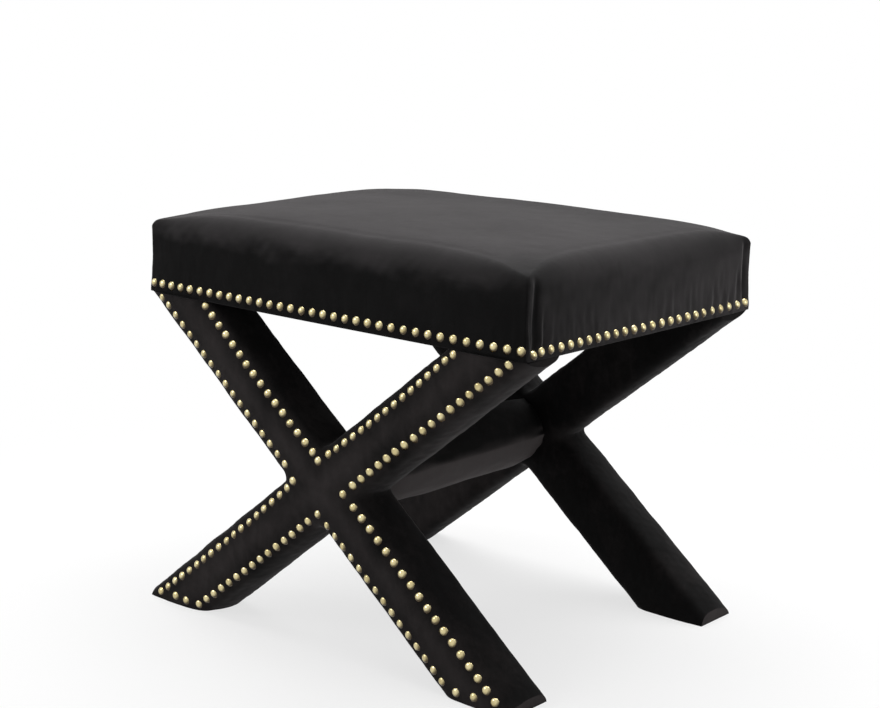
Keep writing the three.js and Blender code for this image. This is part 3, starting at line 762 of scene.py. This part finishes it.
def plan_ring(wide, deep, radius, cells_x, cells_y, arc):
    """A rounded rectangle that starts in the middle of its front left corner and runs round to
    the right. Each side has its own number of cells, half of each corner among them, and the
    cells are closer together near the corners."""
    points = []
    for side in range(4):
        cells = cells_x if side % 2 == 0 else cells_y
        reach_x, reach_y = (wide, deep) if side % 2 == 0 else (deep, wide)
        even = np.linspace(0, 1, cells - 2 * arc + 1)
        warped = even - EDGE_DENSITY * np.sin(2 * np.pi * even) / (2 * np.pi)
        straight = (2 * warped - 1) * (reach_x - radius)
        turns = np.radians(np.linspace(-45, 0, arc + 1))[:-1]
        arc_x = -(reach_x - radius) + radius * np.sin(turns)
        arc_y = -(reach_y - radius) - radius * np.cos(turns)
        first = np.stack([arc_x, arc_y], 1)
        middle = np.stack([straight, np.full(len(straight), -reach_y)], 1)
        last = first[::-1] * [-1, 1]
        line = np.concatenate([first, middle, last])[:-1]
        turn = side * math.pi / 2
        spin = np.array([[math.cos(turn), math.sin(turn)], [-math.sin(turn), math.cos(turn)]])
        points.append(line @ spin)
    return np.concatenate(points)


def ring_sides(ring, cells_x, cells_y):
    """The front, right, rear and left side of a closed ring, run to the right or the rear."""
    ring = np.concatenate([ring, ring[:1]])
    a, b, c = cells_x, cells_x + cells_y, 2 * cells_x + cells_y
    return ring[: a + 1], ring[a : b + 1], ring[b : c + 1][::-1], ring[c:][::-1]


def seat_net(cells_x, cells_y, side_levels, arc=4, roll_levels=9):
    """The rings of the sides, then the grid of the top, with the faces that join them."""
    wide, deep = half_x - FORM_INSET, half_y - FORM_INSET
    x, y = plan_ring(wide, deep, CORNER_RADIUS, cells_x, cells_y, arc).T
    roll = CORNER_ROLL + (EDGE_ROLL - CORNER_ROLL) * edge_fullness(x, y)
    shoulder = top_height(x, y) - roll
    rings = []
    for share in np.linspace(0, 1, side_levels):
        draw = np.interp(share, LEVEL_SHARES, DRAW_SHARES)
        in_x = 1 - (WAIST + BOW * (1 - (y / deep) ** 2)) * draw / wide
        in_y = 1 - (WAIST + BOW * (1 - (x / wide) ** 2)) * draw / deep
        rings.append(np.stack([x * in_x, y * in_y, SEAT_BASE + (shoulder - SEAT_BASE) * share], 1))
    for turn in np.linspace(0, math.pi / 2, roll_levels + 1)[1:]:
        inward = roll * (1 - math.cos(turn))
        in_x, in_y = x * (1 - inward / wide), y * (1 - inward / deep)
        drop = roll * (1 - math.sin(turn)) + FORM_INSET
        rings.append(np.stack([in_x, in_y, top_height(in_x, in_y) - drop], 1))
    count = 2 * (cells_x + cells_y)
    front, right_side, rear, left_side = ring_sides(rings[-1], cells_x, cells_y)
    u = np.linspace(0, 1, cells_x + 1)[:, None, None]
    v = np.linspace(0, 1, cells_y + 1)[None, :, None]
    top = (
        (1 - v) * front[:, None] + v * rear[:, None]
        + (1 - u) * left_side[None] + u * right_side[None]
        - (1 - u) * (1 - v) * front[0] - u * (1 - v) * front[-1]
        - (1 - u) * v * rear[0] - u * v * rear[-1]
    )
    top[..., 2] = top_height(top[..., 0], top[..., 1]) - FORM_INSET
    sides = np.concatenate(rings)
    start = len(sides)
    index = np.full((cells_x + 1, cells_y + 1), -1)
    around = start - count + np.arange(count)
    index[:, 0], index[-1], index[:, -1], index[0] = ring_sides(around, cells_x, cells_y)
    index[1:-1, 1:-1] = start + np.arange((cells_x - 1) * (cells_y - 1)).reshape(cells_x - 1, -1)
    corners = [index[:-1, :-1], index[1:, :-1], index[1:, 1:], index[:-1, 1:]]
    grid = np.stack(corners, 2).reshape(-1, 4)
    points = np.concatenate([sides, top[1:-1, 1:-1].reshape(-1, 3)])
    quads = np.concatenate([ring_quads(len(rings), count), grid])
    return points, quads, [list(range(count))[::-1]]


seat = skin("seat_velvet_cover", *seat_net(cells_x=260, cells_y=200, side_levels=24))
print(len(seat.data.vertices), "vertices on the seat")

# %% [markdown]
# The foam pushes outwards against cloth that is nailed along the bottom. A coarse copy of the
# net is blown up for a moment with the rows of nails held fast, and the finer net follows it.


# %% Swell the seat
SWELL_FRAMES, SWELL_PRESSURE, SWELL_LIMIT = 20, 0.4, 4 * MM
SIDE_ROOM, TOP_ROOM = 1.8 * MM, 0.8 * MM
CARRY_WIDTH, CARRY_COUNT = 9 * MM, 14
HELD_HEIGHT = 15 * MM
CALM_ROUNDS = 45


def swell(thing):
    """Carries the movement of a coarse inflated copy over to a finer net."""
    coarse = skin("seat_coarse", *seat_net(
        cells_x=80, cells_y=62, side_levels=11, arc=2, roll_levels=4
    ))
    before = read_points(coarse)
    before_normal = read_normals(coarse)
    pins = coarse.vertex_groups.new(name="pins")
    pins.add(np.nonzero(before[:, 2] < SEAT_BASE + HELD_HEIGHT)[0].tolist(), 1.0, "REPLACE")
    cloth = coarse.modifiers.new("swell", "CLOTH").settings
    cloth.quality = 5
    cloth.mass = 0.35
    cloth.use_pressure = True
    cloth.uniform_pressure_force = SWELL_PRESSURE
    cloth.vertex_group_mass = "pins"
    cloth.effector_weights.gravity = 0
    scene = bpy.context.scene
    for number in range(1, SWELL_FRAMES + 1):
        scene.frame_set(number)
    swollen = coarse.evaluated_get(bpy.context.evaluated_depsgraph_get()).to_mesh()
    moved = vectors(swollen.vertices, "co") - before
    scene.frame_set(1)
    moved = averaged(coarse, moved, CALM_ROUNDS)
    bpy.data.objects.remove(coarse)
    length = np.linalg.norm(moved, axis=1)[:, None]
    moved *= SWELL_LIMIT * np.tanh(length / SWELL_LIMIT) / np.maximum(length, 1e-9)
    free = smooth_step(before[:, 2], SEAT_BASE + HELD_HEIGHT, SEAT_BASE + 3 * HELD_HEIGHT)
    room = SIDE_ROOM + (TOP_ROOM - SIDE_ROOM) * before_normal[:, 2].clip(0, 1)
    moved -= before_normal * (room * free)[:, None]
    tree = KDTree(len(before))
    for i, point in enumerate(before):
        tree.insert(point, i)
    tree.balance()
    fine = read_points(thing)
    for i, point in enumerate(fine.copy()):
        near = tree.find_n(point, CARRY_COUNT)
        weights = np.array([math.exp(-((gap / CARRY_WIDTH) ** 2)) for _, _, gap in near])
        fine[i] += weights @ moved[[index for _, index, _ in near]] / weights.sum()
    write_points(thing, fine)
    return float(length.max())


print("the cloth moved by up to", round(swell(seat) / MM, 1), "mm")

# %% [markdown]
# ## Pulls, gathers and pleats
# Each nail pulls the velvet in. On the short ends the cloth is bunched between the nails and
# drawn in long streaks, and its spare width is folded into a pair of pleats beside each corner.

# %% Soft noise for the cloth
NOISE = {  # stretch along each axis, wavelength and seed
    "wander": ((1, 1, 1), 60 * MM, 5),
    "gather": ((1, 1, 1), 45 * MM, 6),
    "streaks": ((1, 1, 0.16), 15 * MM, 7),
    "fine streaks": ((1, 1, 0.2), 8 * MM, 8),
    "swells": ((1, 1, 1), 110 * MM, 9),
    "dents": ((1, 1, 1), 38 * MM, 10),
    "blotches": ((1, 1, 0.7), 36 * MM, 12),
    "fine blotches": ((1, 1, 0.6), 14 * MM, 13),
    "bar swells": ((1, 0.5, 1), 45 * MM, 14),
    "bar dents": ((1, 0.4, 1), 17 * MM, 15),
    "drift": ((0.6, 0.6, 1.2), 38 * MM, 16),
    "fine drift": ((1, 1, 1), 14 * MM, 17),
}


def noise(points, kind):
    """Ripples of one kind from the table."""
    stretch, wavelength, seed = NOISE[kind]
    return ripples(points * stretch, wavelength, seed)


print(len(NOISE), "kinds of noise")


# %% Lay out the seat's nails
LONG_COUNT, SHORT_COUNT = 34, 25
LONG_FIRST, LONG_LAST, SETTLE, DRIFT = -299.5 * MM, 298.9 * MM, 1.5, 46 * MM
SHORT_FIRST, SHORT_PITCH, SHORT_DRIFT = -227.3 * MM, 17.137 * MM, 0.0745 * MM
SHORT_SETTLE, SHORT_DROP, CORNER_DROP = 4 * MM, 1.5 * MM, 2.5 * MM
row_height = SEAT_BASE + NAIL_ROW
SLACK_AT = (0, 0.1, 0.21, 0.42, 0.64, 0.86, 1)
SLACK = [drop * MM for drop in (1, 5.5, 5.4, 4.3, 2.4, 1.2, 0)]
SLACK_WIDTH = 90 * MM

end_x = abs(middle_of("nail_seat_front_left")[0])
long_spots = np.linspace(LONG_FIRST, LONG_LAST, LONG_COUNT)
steps_in = np.arange(LONG_COUNT)
share = steps_in / (LONG_COUNT - 1)
long_spots -= DRIFT * share**2 * (1 - share)
long_spots += (-end_x - LONG_FIRST) * np.exp(-steps_in / SETTLE)
long_spots += (end_x - LONG_LAST) * np.exp(-steps_in[::-1] / SETTLE)
numbers = np.arange(SHORT_COUNT)
short_spots = SHORT_FIRST + SHORT_PITCH * numbers + SHORT_DRIFT * numbers**2
short_spots[0] += SHORT_SETTLE
short_heights = row_height - SHORT_DROP - CORNER_DROP * np.exp(-numbers / SETTLE)
long_pitch = (LONG_LAST - LONG_FIRST) / (LONG_COUNT - 1)
short_pitch = (short_spots[-1] - short_spots[0]) / (SHORT_COUNT - 1)
print("nails every", round(long_pitch / MM, 1), "and", round(short_pitch / MM, 1), "mm")


# %% Shape the seat's cloth
PULL, PULL_WIDTH, GATHER_REACH = 1.1 * MM, 6 * MM, 24 * MM
LONG_GATHER, SHORT_GATHER = 0.1 * MM, 0.4 * MM
WANDER, GATHER_MEAN, GATHER_SPREAD, GATHER_MOST = 1.1, 0.7, 1.1, 2.5
STREAK, LONG_STREAK, SWELL, DENT = 0.26 * MM, 0.05 * MM, 0.5 * MM, 0.08 * MM
RIDGE_FOOT, VALLEY_AT, SECOND_AT, SECOND_STEP = 8 * MM, 17 * MM, 27 * MM, 6 * MM
RIDGE, RIDGE_WIDTH, SECOND_RIDGE, SECOND_RIDGE_WIDTH = 1.3 * MM, 2 * MM, 1 * MM, 2.4 * MM
VALLEY, VALLEY_WIDTH, SECOND_VALLEY, SECOND_WIDTH = 3 * MM, 5 * MM, 0.9 * MM, 3 * MM

points = read_points(seat)
normal = read_normals(seat)
x, y, z = points.T
short_face = smooth_step(abs(normal[:, 0]), 0.55, 0.8)
long_face = smooth_step(abs(normal[:, 1]), 0.55, 0.8)
top_face = smooth_step(normal[:, 2], 0.3, 0.8)
rise = z - row_height
over_nails = bump_at(rise, 0, GATHER_REACH)
under_nails = smooth_step(z, SEAT_BASE, row_height)

amount = np.zeros(len(points))
for face, along, spots, pitch, gather in (
    (long_face, x, long_spots, long_pitch, LONG_GATHER),
    (short_face, np.sign(x) * y, short_spots, short_pitch, SHORT_GATHER),
):
    nearest = abs(along[:, None] - spots[None]).min(1)
    amount -= PULL * np.exp(-((nearest**2 + rise**2) / PULL_WIDTH**2)) * face
    wave = np.cos(2 * np.pi * (along - spots[0]) / pitch + WANDER * noise(points, "wander"))
    uneven = GATHER_MEAN + GATHER_SPREAD * noise(points, "gather")
    size = gather * np.clip(uneven, 0, GATHER_MOST)
    amount -= size * wave * over_nails * under_nails * face
streaks = noise(points, "streaks") + 0.6 * noise(points, "fine streaks")
amount += STREAK * streaks * short_face * smooth_step(-rise, -60 * MM, -8 * MM)
amount += LONG_STREAK * streaks * long_face
amount += SWELL * noise(points, "swells") + DENT * noise(points, "dents") * top_face

to_corner = half_y - abs(y)
climb = np.clip((z - SEAT_BASE) / (SHOULDER - SEAT_BASE), 0, 1)
fade = smooth_step(z, SEAT_BASE + 2 * MM, SEAT_BASE + 16 * MM)
fade *= 1 - smooth_step(z, SHOULDER - 2 * MM, SHOULDER + 12 * MM)
low_fade = 1 - smooth_step(climb, 0.45, 0.8)
fold = RIDGE * bump_at(to_corner, RIDGE_FOOT * (1 - climb), RIDGE_WIDTH)
fold -= VALLEY * bump_at(to_corner, VALLEY_AT, VALLEY_WIDTH)
fold += SECOND_RIDGE * bump_at(to_corner, SECOND_AT, SECOND_RIDGE_WIDTH) * low_fade
fold -= SECOND_VALLEY * bump_at(to_corner, SECOND_AT + SECOND_STEP, SECOND_WIDTH) * low_fade
amount += fold * fade * short_face
amount[z < SEAT_BASE + 0.5 * MM] = 0
along_end = (y + half_y) / (2 * half_y)
droop = np.interp(along_end, SLACK_AT, SLACK) * bump_at(x, -half_x, SLACK_WIDTH)
points += normal * amount[:, None]
points[:, 2] -= droop * smooth_step(z, SEAT_BASE + 20 * MM, SHOULDER)
from_corner = np.hypot(half_x - abs(x), half_y - abs(y))
ear = EAR * bump_at(from_corner, 0, EAR_WIDTH)
points[:, 2] += ear * smooth_step(z, SHOULDER - 30 * MM, SHOULDER)
points[:, 0] = points[:, 0].clip(-half_x - 2 * MM, half_x + 2 * MM)
write_points(seat, points)
seat.data.materials.append(seat_velvet)
print("seat rises to", round(points[:, 2].max(), 4))

# %% Paint light and shade on the seat's cloth
# Painted light and shade on the seat's cloth: the roll and top are painted lit, less on the flat
# top, near the front right corner and towards the rear; the right end is painted lighter towards
# the rear and painted dark in the pleats' creases; the blotches and the drift are random tone.
END_LIGHT, END_LIGHT_RISE, BLOTCH_NAP, CREASE_SHADE, CREASE_WIDTH = 0.14, 0.62, 0.04, 0.2, 5.5 * MM
TOP_LIGHT, FLAT_LOSS, CORNER_LOSS, REAR_LOSS, DRIFT_NAP = 0.34, 0.07, 0.24, 0.2, 0.03

creases = bump_at(to_corner, VALLEY_AT, CREASE_WIDTH)
creases += 0.5 * bump_at(to_corner, SECOND_AT + SECOND_STEP, SECOND_WIDTH) * low_fade
blotches = noise(points, "blotches") + 0.7 * noise(points, "fine blotches")
toward_rear = (y + half_y) * np.sign(x)
drift = noise(points, "drift") + 0.5 * noise(points, "fine drift")
turned_up = smooth_step(z + 4 * MM * drift, SHOULDER - 16 * MM, SHOULDER + 14 * MM)
near_corner = bump_at(np.hypot(half_x - x, half_y + y), 0, 75 * MM)
on_end = END_LIGHT + END_LIGHT_RISE * toward_rear + BLOTCH_NAP * blotches - CREASE_SHADE * creases * fade
on_top = TOP_LIGHT - FLAT_LOSS * top_face - CORNER_LOSS * near_corner
on_top -= REAR_LOSS * smooth_step(y, 0, half_y)
on_top += DRIFT_NAP * drift * (1 - top_face)
paint_light(seat, on_top * turned_up + short_face * on_end * (1 - turned_up))
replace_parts(seat, "seat_cover", "seat_batting", "seat_foam")
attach(seat, "root")
# Prints the strongest painted light on the seat's ends.
print("lightest pile on the seat", round(float(on_end.max()), 2))

# %% [markdown]
# ## The stretcher
# A bar runs between the two crossings. It is wadded and wrapped with one of its edges upwards,
# so its section is a rounded diamond: both widths raised to a power of about one and a half add
# up to one. The cloth is drawn in where it meets the legs.

# %% Wrap the stretcher
bar_low, bar_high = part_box("stretcher_cover")
BAR_FULLNESS, BAR_DRAW, DRAW_REACH, BAR_END = 1.6, 4 * MM, 26 * MM, 1 * MM
BAR_GATHER, BAR_GATHER_REACH, BAR_SWELL, BAR_DENT = 0.7 * MM, 17 * MM, 0.5 * MM, 0.25 * MM
BAR_POINTS, BAR_RINGS = 112, 96

turn = np.linspace(0, 2 * np.pi, BAR_POINTS, endpoint=False)[None]
along = np.linspace(bar_low.y - BAR_END, bar_high.y + BAR_END, BAR_RINGS)[:, None]
to_end = (bar_high.y + BAR_END - abs(along)) + 0 * turn
power = 2 / BAR_FULLNESS
half_wide, half_high = bar_high.x, (bar_high.z - bar_low.z) / 2
drawn = BAR_DRAW * bump_at(to_end, 0, DRAW_REACH) + 1 * MM
ring_x = np.sign(np.cos(turn)) * abs(np.cos(turn)) ** power * (half_wide - drawn)
ring_z = np.sign(np.sin(turn)) * abs(np.sin(turn)) ** power * (half_high - drawn)
ring_z += (bar_high.z + bar_low.z) / 2
points = np.stack([ring_x, along + 0 * turn, ring_z], 2).reshape(-1, 3)
caps = [cap[::-1] for cap in end_caps(len(points), BAR_POINTS)]
bar = skin("stretcher_velvet_cover", points, ring_quads(BAR_RINGS, BAR_POINTS), caps)
gathers = np.cos(13 * turn + 0.7 * np.sin(3 * turn)) * bump_at(to_end, 0, BAR_GATHER_REACH)
amount = BAR_GATHER * gathers.ravel() + BAR_SWELL * noise(points, "bar swells")
push(bar, amount + BAR_DENT * noise(points, "bar dents"))
bar.data.materials.append(bar_velvet)
# Painted light from the floor on the stretcher's lower faces; the upper faces are left in painted
# shade.
paint_light(bar, 0.9 * smooth_step(-read_normals(bar)[:, 2], -0.4, 0.15))
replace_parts(bar, "stretcher_cover", "stretcher_wadding")
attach(bar, "root")
print(len(bar.data.polygons), "faces on the stretcher")

# %% [markdown]
# ## Nails
# The heads are thin domes struck from brass sheet. Each one sits where a ray from outside meets
# the cloth, leans a little with it, and is a little uneven, because it was driven by hand.


# %% Domed heads
NAIL_SEGMENTS = 16
NAIL_SINK = 0.9 * MM
SEARCH = 60 * MM
NAIL_TILT, NAIL_SIZES = 0.05, (0.97, 1.03)
CAP_RINGS, CAP_HOLE = 5, 0.12
# Where the painted shade on each nail's rim begins and ends, and how much further it reaches on the
# lower side.
RIM_SHADE_LOWER, RIM_FROM, RIM_TO = 0.6, 0.3, 0.95
LEG_SEED, CROSSING_SEED, LONG_SEED, CORNER_SEED, SHORT_SEED = 41, 51, 61, 71, 81


def dome_net():
    """A cap of a sphere with a short skirt that sinks into the cloth, closed behind."""
    ball = (NAIL_RADIUS**2 + NAIL_RISE**2) / (2 * NAIL_RISE)
    widest = math.asin(NAIL_RADIUS / ball)
    falls = np.linspace(widest, CAP_HOLE * widest, CAP_RINGS)
    radii = np.concatenate([[NAIL_RADIUS], ball * np.sin(falls)])
    heights = np.concatenate([[-NAIL_SINK], ball * np.cos(falls) - ball + NAIL_RISE])
    turn = np.linspace(0, 2 * np.pi, NAIL_SEGMENTS, endpoint=False)
    points = np.stack([
        radii[:, None] * np.cos(turn), radii[:, None] * np.sin(turn), heights[:, None] + 0 * turn,
    ], 2).reshape(-1, 3)
    return points, ring_quads(len(radii), NAIL_SEGMENTS), end_caps(len(points), NAIL_SEGMENTS)


def on_cloth(surface, start, heading):
    """Where a ray meets the cloth, and the way the cloth faces there."""
    hit, facing, _, _ = surface.ray_cast(Vector(start), Vector(heading))
    return hit, (facing if facing.dot(Vector(heading)) < 0 else -facing)


def nail_piece(name, spots, seed):
    """One object of domes at the given places, each turned to its own facing."""
    random = np.random.default_rng(seed)
    points, quads, caps = dome_net()
    all_points, all_quads, all_caps, all_rim_shades = [], [], [], []
    spread = np.hypot(points[:, 0], points[:, 1]) / NAIL_RADIUS
    for i, (hit, facing) in enumerate(spots):
        lean = Vector(random.normal(size=3) * NAIL_TILT) + facing
        spin = lean.to_track_quat("Z", "Y").to_matrix()
        placed = points @ np.array(spin).T * random.uniform(*NAIL_SIZES) + np.array(hit)
        all_points.append(placed)
        # Painted shade round the rim of each head, reaching further in on its lower side.
        lower = (hit.z - placed[:, 2]) / NAIL_RADIUS
        all_rim_shades.append(smooth_step(spread + RIM_SHADE_LOWER * lower, RIM_FROM, RIM_TO))
        all_quads.append(quads + i * len(points))
        all_caps.extend([[j + i * len(points) for j in cap] for cap in caps])
    thing = skin(name, np.concatenate(all_points), np.concatenate(all_quads), all_caps)
    thing.data.materials.append(brass)
    layer = thing.data.attributes.new("rim", "FLOAT", "POINT")
    layer.data.foreach_set("value", np.concatenate(all_rim_shades).astype(np.float32))
    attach(thing, "root")
    return thing


graph = bpy.context.evaluated_depsgraph_get()
surfaces = {
    thing.name: BVHTree.FromObject(thing, graph) for thing in (seat, front_legs, rear_legs)
}
total = 0
for place, side, legs in (("front", -1, front_legs), ("rear", 1, rear_legs)):
    surface = surfaces[legs.name]
    heading = (0, -side, 0)
    start_y = side * (half_y + SEARCH)
    spots = [on_cloth(surface, (-side * px, start_y, pz), heading) for px, pz in leg_nails]
    nail_piece(f"{place}_leg_trim_nails", spots, LEG_SEED + side)
    total += len(spots)
    for where in CROSSING_NAILS:
        node = f"nail_{place}_crossing_{where}"
        middle_x, _, middle_z = middle_of(node)
        spot = on_cloth(surface, (middle_x, start_y, middle_z), heading)
        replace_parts(nail_piece(f"{node}_dome", [spot], CROSSING_SEED + total), node)
        total += 1
    surface = surfaces[seat.name]
    spots = [on_cloth(surface, (px, start_y, row_height), heading) for px in long_spots[1:-1]]
    nail_piece(f"seat_{place}_trim_nails", spots, LONG_SEED + side)
    total += len(spots)
    for which in ("left", "right"):
        node = f"nail_seat_{place}_{which}"
        spot = on_cloth(surface, (middle_of(node)[0], start_y, row_height), heading)
        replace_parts(nail_piece(f"{node}_dome", [spot], CORNER_SEED + total), node)
        total += 1
for place, side in (("left", -1), ("right", 1)):
    surface = surfaces[seat.name]
    start_x = side * (half_x + SEARCH)
    row = zip(short_spots, short_heights)
    spots = [on_cloth(surface, (start_x, side * py, pz), (-side, 0, 0)) for py, pz in row]
    nail_piece(f"seat_{place}_trim_nails", spots, SHORT_SEED + side)
    total += len(spots)
print(total, "nails")

# %% [markdown]
# ## Underneath
# A black dust cover is stretched under the seat and stapled to the rails. The wood, screws and
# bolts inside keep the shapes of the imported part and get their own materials.

# %% Dust cover and the hidden parts
outline = bpy.data.objects["dust_cover"].data.copy()
dust = linked("dust_cover_cloth", outline)
outline.materials.clear()
outline.materials.append(cambric)
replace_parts(dust, "dust_cover")
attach(dust, "root")

finishes = {
    "velvet": seat_velvet, "brass": brass, "wadding": cambric, "foam": cambric, "steel": zinc,
    "plywood": plywood, "cambric": cambric,
}
for part in frame["record"]["subparts"]:
    thing = bpy.data.objects[part["node"]]
    finish_name = part["material_slot"]
    if finish_name == "beech":
        low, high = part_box(part["node"])
        size = high - low
        chosen = beeches[max(range(3), key=lambda i: size[i])]
    else:
        chosen = finishes[finish_name]
    thing.data.materials.clear()
    thing.data.materials.append(chosen)
